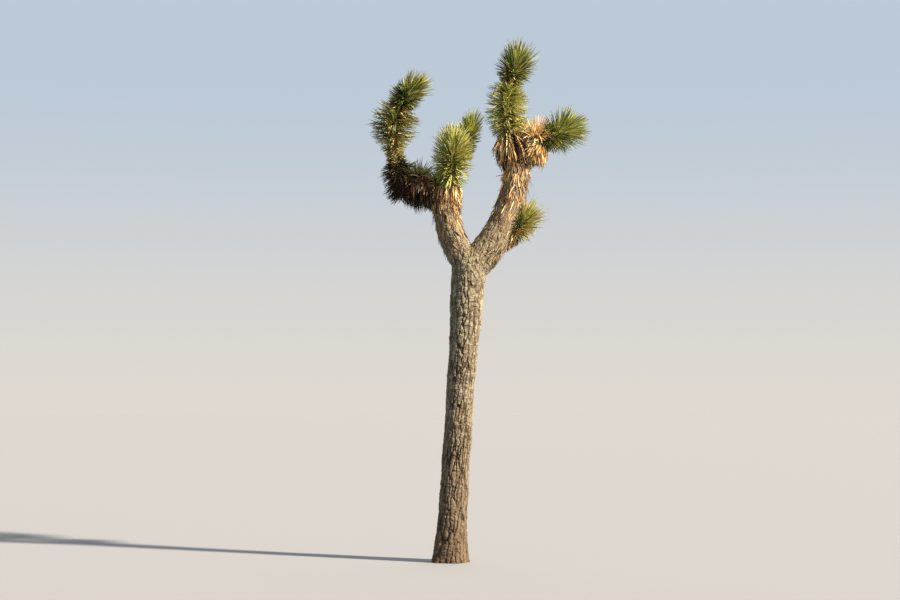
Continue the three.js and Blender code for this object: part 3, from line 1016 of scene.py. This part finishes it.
# %% Grow the thatches
DEAD_LENGTHS, DEAD_WIDTHS = (0.82, 1.16), (0.7, 1.2)  # shares, as for live leaves
DEAD_TILT = 14  # degrees
DRAWN_DOWN = (0.4, 1.4)  # shares of the weight
DEAD_CURL, CURLED_UP = (0.05, 1.0), (0.3, 1.7)  # radians, and radians more where a leaf has rolled up
DEAD_ROLL = 0.8
NUDGE = 1e-4  # keeps the way to bend defined where a leaf already hangs straight down
# The tones change over from those for the top of a stem to darker ones for its underside: painted shade.
UNDER_FROM = (0.2, 0.7)  # from the top of a stem at 0 to its underside at 1, where the tones change over


def dead_leaves(
    node, stem, first, last, count, lean, top, under, seed,
    weight=0.45, overhang=OVERHANG, curls=0.15, width=LEAF_WIDTH, seat=0.8,
):
    """A clump of dead leaves. Each leans back from the stem by lean degrees, (at the foot, at the crown),
    is drawn down by its weight and then bends on towards the ground. A share of them, curls, roll up. The
    tones go from those on top of the stem to those under it, which the tables make darker as painted shade."""
    rng = np.random.default_rng(seed)
    base, onward, outward, age, spray = leaf_bed(stem, first, last, count, rng, seat=seat)
    angle = np.radians(between(lean[1], lean[0], age) + rng.normal(0, DEAD_TILT, count))
    down = np.array([0.0, 0.0, -1.0])
    drawn = down * weight * rng.uniform(*DRAWN_DOWN, (count, 1))
    way = unit(turned(onward, outward, angle) + drawn)
    bend = unit(down + way * way[:, 2:] + NUDGE * outward)
    curl = rng.uniform(*DEAD_CURL, count)
    curl += rng.uniform(*CURLED_UP, count) * (rng.uniform(size=count) < curls)
    middle_way = unit(turned(way, bend, curl / 2))
    return dict(
        base=base, way=way, bend=bend, curl=curl,
        length=leaf_lengths(rng, node, base, middle_way, DEAD_LENGTHS, overhang),
        roll=rng.normal(0, DEAD_ROLL, count), width=width * rng.uniform(*DEAD_WIDTHS, count),
        tone=deal(rng, ease(*UNDER_FROM, 0.5 - 0.5 * outward[:, 2]), spray, seed, top, under))


# top and under are weights of straw, tan, brown, grey, rust and charcoal; the underside's weights
# are darker, as painted shade beneath the limb.
BACK_THATCH = dict(count=420, top=(3, 4, 3, 2, 2, 0.5), under=(1, 2, 3, 1, 2, 3))
THATCHES = {
    # The left arm is dealt lighter tones on top and almost all charcoal beneath: painted light above it and
    # painted shade under it.
    "left_arm_thatch": dict(
        stem="left_arm", first=0.0, last=1.0, count=760, lean=(104, 92), curls=0.4,
        top=(2.5, 4, 4, 0.3, 6, 1.5), under=(0, 0.1, 0.5, 0.1, 1.2, 12)),
    "centre_thatch": dict(
        stem="left_bough", first=0.78, last=1.06, count=640, lean=(150, 118),
        weight=0.6, overhang=0.06, seat=0.98,
        top=(4, 5, 3, 0.5, 2.5, 0.5), under=(4, 5, 3, 0.5, 2.5, 0.8)),
    "twin_thatch": dict(
        stem="twin_arm", first=0.40, last=0.78, count=340, lean=(158, 132),
        top=(5, 5, 2, 1, 1, 0.3), under=(3, 5, 3, 1, 1, 1)),
    "left_back_thatch": dict(stem="left_back_arm", first=0.30, last=0.66, lean=(140, 115), **BACK_THATCH),
    "right_thatch": dict(
        stem="right_spire", first=-0.08, last=0.36, count=760, lean=(162, 114),
        width=0.015, curls=0.25,
        top=(6, 4, 3, 1, 2.5, 4.5), under=(4, 4, 3, 1, 2, 5)),
    "right_arm_thatch": dict(
        stem="right_arm", first=-0.22, last=0.58, count=860, lean=(146, 104),
        weight=0.55, overhang=0.07, width=0.0165,
        top=(14, 3, 0.2, 0.3, 0.1, 0), under=(11, 5, 0.6, 0.3, 0.4, 0.2)),
    "right_back_thatch": dict(stem="right_back_arm", first=0.28, last=0.64, lean=(145, 118), **BACK_THATCH),
    "low_spur_thatch": dict(
        stem="low_spur", first=0.30, last=0.64, count=360, lean=(150, 112),
        top=(8, 4, 1, 1, 1, 0.3), under=(6, 4, 2, 1, 1, 1)),
}
thatches = clothe("thatch", THATCHES, dead_leaves, DEAD)

# %% [markdown]
# ## A dead shoot
#
# Where the right arm leaves its bough a bleached sheaf stands up out of the thatch. It is a shoot like
# those on the left arm, but long dead: straw all through, with its outer leaves fallen open.

# %% Grow the dead shoot
DEAD_TUFT = dict(
    spread=52, droop=2.1, length=(0.16, 0.27), young=(9, 2, 0, 1, 0, 0), old=(6, 5, 1, 0.5, 0.5, 0))
dead_shoot = tuft("right_arm", share=0.42, count=220, seed=SEEDS["dead_shoot"], **DEAD_TUFT)
thatches.append(leaf_piece("dead_shoot", dead_shoot, *DEAD))
print("blades in the dead shoot:", len(dead_shoot["base"]))

# %% [markdown]
# ## Husks on the boughs
#
# Long after the skirt has dropped, the stubs of its leaves still lie on the boughs like straw. They are
# blades too: short and broad, pointed down the bough and pressed against the bark. There are none on the
# trunk, where the bark has shed them, and most are near the heads.

# %% Grow the husks
HUSKS = {
    "left_bough": dict(first=0.10, last=0.96, count=820),
    "right_bough": dict(first=0.14, last=0.98, count=1150),
    "twin_arm": dict(first=0.12, last=0.50, count=200),
    "left_back_arm": dict(first=0.15, last=0.50, count=150),
    "right_back_arm": dict(first=0.12, last=0.45, count=150),
}
PROUD = 0.002  # how far a husk's base stands off the bark
HUSK_LENGTHS, HUSK_WIDTHS = (0.03, 0.13), (0.004, 0.011)
YOUNG_LONGER, OLD_SHORTER = 1.2, 0.6  # factors on the length, near the head and far from it
CROWDING = 1.6  # the power that packs them towards the head
LIFT, LIFT_POWER = (0.05, 0.45), 1.3  # how far they stand off
ASTRAY = 0.28  # how far they point aside
HUSK_CURL, HUSK_ROLL = (0.25, 0.3), 0.4  # radians: mean and spread of the curl, spread of the roll
HUSK_PATCH = (0.9, 14)  # radians round the bough, and patches along it, that favour tones together
HUSK_TONES = (1.2, 4, 3.5, 4, 1, 1), (0, 1, 2.5, 7, 0.7, 2.5)  # for young husks and for old ones


def husks(stem, first, last, count, seed):
    """Blades pressed against a bough. The base lies just on the bark, the blade points back down the stem
    and a little outward, and bends inward again, so that it hugs the bough. They are thickest near the
    head."""
    rng = np.random.default_rng(seed)
    share = between(last, first, rng.uniform(0, 1, count) ** CROWDING)
    age = (last - share) / (last - first)
    turn = np.arange(count) * GOLDEN_TURN
    point, onward, side, across = along(axes[stem], share)
    outward = turned(side, across, turn)
    aside = np.cross(onward, outward) * rng.normal(0, ASTRAY, (count, 1))
    way = unit(-onward + outward * rng.uniform(*LIFT, (count, 1)) ** LIFT_POWER + aside)
    bend = unit(-outward + way * (outward * way).sum(1, keepdims=True))
    round_it, along_it = np.floor(turn / HUSK_PATCH[0]) % SPRAYS_ROUND, np.floor(share * HUSK_PATCH[1])
    spray = np.stack([round_it, along_it, 0 * share], axis=1)
    return dict(
        base=point + outward * (stem_radius(stem)(share, turn) + PROUD)[:, None], way=way, bend=bend,
        curl=rng.normal(*HUSK_CURL, count),
        length=rng.uniform(*HUSK_LENGTHS, count) * between(YOUNG_LONGER, OLD_SHORTER, age),
        roll=rng.normal(0, HUSK_ROLL, count), width=rng.uniform(*HUSK_WIDTHS, count),
        tone=deal(rng, age, spray, seed, *HUSK_TONES))


husk_leaves = together([
    husks(stem, seed=SEEDS["husks"] + k, **facts) for k, (stem, facts) in enumerate(HUSKS.items())])
thatches.append(leaf_piece("bough_husks", husk_leaves, *DEAD))
print("husks:", len(husk_leaves["base"]))

# %% [markdown]
# ## The finish of the bark
#
# The bark is cork: dull, rough, grey where it is weathered and brown where it is fresh. Dust and lichen
# give broad patches, each block has its own tone, and the cracks are dark: partly their darker cork,
# partly painted shade in their depth. Fine grooves run lengthwise, and hair cracks split the blocks. The
# boughs still wear the fibres of old leaves, so they are paler and streaked. The colours could be painted
# on by hand, but here they follow the blocks and hollows that the relief has worked out, and the streaks
# read the place on the stem.

# %% What the patterns read
A, B = 6, 7  # the two colours that a Mix node blends, by the share in its input 0
COLOUR = {"data_type": "RGBA"}
SHADE = {"data_type": "RGBA", "blend_type": "MULTIPLY"}
RANGE = ("From Min", "From Max", "To Min", "To Max")
bark = finish_named("cork_bark")
stem_place, hollow_here, block_here = (
    add(bark, "ShaderNodeAttribute", attribute_name=what).outputs[output]
    for what, output in (("stem_place", "Vector"), ("hollow", "Fac"), ("block", "Fac")))
spot = add(bark, "ShaderNodeTexCoord").outputs["Object"]
height = add(bark, "ShaderNodeSeparateXYZ", links={0: spot}).outputs["Z"]

# Places on the stem, counted in grooves of 7 by 70 mm, crumbs of 12 by 35 mm and fibres of 3 by 50 mm.
in_grooves, in_crumbs, in_fibres = (
    add(bark, "ShaderNodeVectorMath", {1: per_metre}, {0: stem_place}, operation="MULTIPLY")
    for per_metre in ((150.0, 150.0, 14.0), (80.0, 80.0, 28.0), (330.0, 330.0, 20.0)))
patches, blotches, grain, grooves, fibres = (
    add(
        bark, "ShaderNodeTexNoise", {"Scale": scale, "Detail": detail, "Roughness": roughness},
        {"Vector": where})
    for where, scale, detail, roughness in (
        (spot, 8.0, 4.0, 0.6),  # patches of weathering, some 12 cm across
        (spot, 60.0, 6.0, 0.72),  # blotches and specks of 2 to 20 mm, pits in which dirt clings
        (spot, 260.0, 3.0, 0.65),  # cork grain, about 2 to 4 mm
        (in_grooves, 1.0, 4.0, 0.62),
        (in_fibres, 1.0, 2.0, 0.55),
    ))
print("nodes that read a place:", len(bark.node_tree.nodes))

# %% Colour of the cork
coat = add(bark, "ShaderNodeMix", {A: linear("#9e9377"), B: linear("#d1c6a6")}, {0: patches}, **COLOUR)
# The sunken blocks show fresh brown cork.
fresh_range = dict(zip(RANGE, (SUNKEN_SHARE, SUNKEN_SHARE + 0.05, 0.35, 0.0)))
fresh_share = add(bark, "ShaderNodeMapRange", fresh_range, {0: block_here})
coat = add(bark, "ShaderNodeMix", {B: linear("#7d6247")}, {0: fresh_share, A: coat}, **COLOUR)
# Each block is a little lighter or darker than the next, and the blotches and grooves shade the cork too.
for source, limits in (
    (block_here, (0.0, 1.0, 0.86, 1.14)),
    (blotches, (0.36, 0.62, 0.66, 1.12)),
    (grooves, (0.35, 0.6, 0.76, 1.1)),
):
    shade = add(bark, "ShaderNodeMapRange", dict(zip(RANGE, limits)), {0: source})
    coat = add(bark, "ShaderNodeMix", {0: 1.0}, {A: coat, B: shade}, **SHADE)
# Hair cracks split it into crumbs.
crumb_wander = add(
    bark, "ShaderNodeVectorMath", {1: (1.6, 1.6, 1.6)}, {0: blotches.outputs["Color"], 2: in_crumbs},
    operation="MULTIPLY_ADD")
crumbs = add(
    bark, "ShaderNodeTexVoronoi", {"Scale": 1.0}, {"Vector": crumb_wander}, feature="DISTANCE_TO_EDGE")
whole = add(bark, "ShaderNodeMapRange", dict(zip(RANGE, (0.0, 0.09, 0.35, 1.0))), {0: crumbs})
coat = add(bark, "ShaderNodeMix", {A: linear("#3a2e22")}, {0: whole, B: coat}, **COLOUR)
# Fibres of old leaves lie over it from the fork upwards.
straw_colour = add(bark, "ShaderNodeMix", {A: linear("#67543c"), B: linear("#bba27a")}, {0: fibres}, **COLOUR)
straw_share = add(bark, "ShaderNodeMapRange", dict(zip(RANGE, (2.35, 3.3, 0.0, 0.75))), {0: height})
coat = add(bark, "ShaderNodeMix", {}, {0: straw_share, A: coat, B: straw_colour}, **COLOUR)
# Splashes of soil darken the foot, less and less up to 2 m. The weather greys the tops of the blocks, but
# their flanks stay brown, and the cracks between them are nearly black: partly darker cork, partly
# painted shade in their depth.
for source, limits, colour in (
    (height, (0.0, 2.0, 0.8, 0.0), "#6c523c"),
    (hollow_here, (0.05, 0.4, 0.0, 0.55), "#6f563c"),
    # Painted shade: the deepest hollows are darkened nearly to black, over the darker cork in them.
    (hollow_here, (0.34, 0.8, 0.0, 0.78), "#33281c"),
):
    share = add(bark, "ShaderNodeMapRange", dict(zip(RANGE, limits)), {0: source})
    coat = add(bark, "ShaderNodeMix", {B: linear(colour)}, {0: share, A: coat}, **COLOUR)
print("nodes with the colours:", len(bark.node_tree.nodes))

# %% Fine relief of the cork
strands = add(bark, "ShaderNodeMath", {}, {0: fibres, 1: straw_share}, operation="MULTIPLY")
below = {}
for source, strength, depth in (
    (strands, 0.8, 0.006),
    (grooves, 0.9, 0.010),
    (whole, 0.8, 0.003),
    (grain, 0.8, 0.005),
):
    bump = add(bark, "ShaderNodeBump", {"Strength": strength, "Distance": depth}, {"Height": source, **below})
    below = {"Normal": bump}
surface = add(
    bark, "ShaderNodeBsdfPrincipled", {"Roughness": 0.92, "IOR": 1.4}, {"Base Color": coat, **below})
add(bark, "ShaderNodeOutputMaterial", links={"Surface": surface})
bark.diffuse_color = linear("#8a7860")

for piece in bark_pieces:
    piece.data.materials.append(bark)
# Inside the clumps the stem is covered by the scars of shed leaves: dull, and paler than the cork's cracks.
leafy_stems.data.materials.append(plain_finish("leaf_scars", "#7b6d46", Roughness=0.9, IOR=1.4))
print("nodes of the bark:", len(bark.node_tree.nodes))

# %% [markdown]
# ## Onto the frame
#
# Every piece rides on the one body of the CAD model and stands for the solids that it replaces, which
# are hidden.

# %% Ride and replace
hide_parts("trunk")
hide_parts("trunk")
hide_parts("left_bough_lower", "right_bough_lower", "low_spur")
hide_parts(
    "left_bough_upper", "right_bough_upper", "left_arm", "twin_arm", "left_back_arm", "right_arm",
    "right_back_arm")
for slot, pieces in {
    "bark": [*bark_pieces, leafy_stems],
    "live_leaf": heads,
    "dead_leaf": thatches,
}.items():
    for piece in pieces:
        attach(piece, "root")
print("pieces:", len(bark_pieces) + 1 + len(heads) + len(thatches))

# %% [markdown]
# ## Camera, floor and light
#
# The photo was taken at eye height from some way off, so the camera stands 16 m away, 1.65 m up, and
# looks a little upwards. A low warm sun from the right models the bark and the heads, and a pale sky
# fills the shadows.

# %% Camera
EYE_HEIGHT = 1.65
camera = show("camera", bpy.data.cameras.new("camera"))
camera.data.sensor_width = 36.0
camera.data.lens = 73.1
camera.location = (0.0, -16.1, EYE_HEIGHT)
camera.rotation_euler = (math.radians(92.3), 0.0, 0.0)
bpy.context.scene.camera = camera
print("camera, mm:", camera.data.lens)

# %% Floor and backdrop
FLOOR_SIZE = 60.0
NO_TRIANGLES = np.empty((0, 3), int)
corners = np.array([[-1, -1, 0], [1, -1, 0], [1, 1, 0], [-1, 1, 0]]) * FLOOR_SIZE
floor = show("floor", mesh_of("floor", corners, np.array([[0, 1, 2, 3]]), NO_TRIANGLES))
floor.data.materials.append(plain_finish("pale_floor", "#949597", Roughness=0.95))
# So large and pale a floor would light the tree from below, so it is hidden from light that bounces.
floor.visible_diffuse = False

# A dome far out gives a pale background, bluer higher up. Only the camera sees it, and it lights nothing.
DOME_RADIUS = 58.0
DOME_RINGS, DOME_SIDES = 24, 96
BLUE_ABOVE = 14.0  # metres up, where the dome has reached its bluest
rise = np.linspace(0, np.pi / 2, DOME_RINGS)[:, None]
turn = np.linspace(0, 2 * np.pi, DOME_SIDES, endpoint=False)[None]
around = [np.cos(rise) * np.cos(turn), np.cos(rise) * np.sin(turn), np.sin(rise) + 0 * turn]
shell = DOME_RADIUS * np.stack(around, axis=-1).reshape(-1, 3)
backdrop = show("backdrop", mesh_of("backdrop", shell, ring_faces(DOME_RINGS, DOME_SIDES)[0], NO_TRIANGLES))
sky_paint = finish_named("backdrop_paint")
dome_place = add(sky_paint, "ShaderNodeTexCoord").outputs["Object"]
dome_height = add(sky_paint, "ShaderNodeSeparateXYZ", links={0: dome_place}).outputs["Z"]
dome_share = add(
    sky_paint, "ShaderNodeMapRange", {"From Min": 0.0, "From Max": BLUE_ABOVE}, {0: dome_height},
    interpolation_type="SMOOTHSTEP")
dome_colour = add(
    sky_paint, "ShaderNodeMix", {A: linear("#dfd9d1"), B: linear("#bccad8")}, {0: dome_share}, **COLOUR)
glow = add(sky_paint, "ShaderNodeEmission", {"Strength": 1.0}, {"Color": dome_colour})
add(sky_paint, "ShaderNodeOutputMaterial", links={"Surface": glow})
backdrop.data.materials.append(sky_paint)
backdrop.visible_diffuse = backdrop.visible_glossy = backdrop.visible_shadow = False
backdrop.visible_transmission = backdrop.visible_volume_scatter = False
print("faces of floor and backdrop:", len(floor.data.polygons) + len(backdrop.data.polygons))

# %% Light
# Name, strength, width and turn in degrees, and colour. The fill from behind lifts the shaded sides.
for name, strength, width, pointing, colour in (
    ("sun", 10.2, 3, (57, 0, 65), "#fff0dc"),
    ("fill", 1.2, 80, (55, 0, 170), "#e8edf3"),
):
    light = show(name, bpy.data.lights.new(name, "SUN"))
    light.data.energy = strength
    light.data.angle = math.radians(width)
    light.data.color = linear(colour)[:3]
    light.rotation_euler = [math.radians(angle) for angle in pointing]
    print(name, "strength:", strength)

world = bpy.data.worlds.new("pale_sky")
world.use_nodes = True
sky = world.node_tree.nodes["Background"]
sky.inputs["Color"].default_value = linear("#cdd6e0")
sky.inputs["Strength"].default_value = 0.52
bpy.context.scene.world = world
bpy.context.scene.view_settings.view_transform = "Standard"
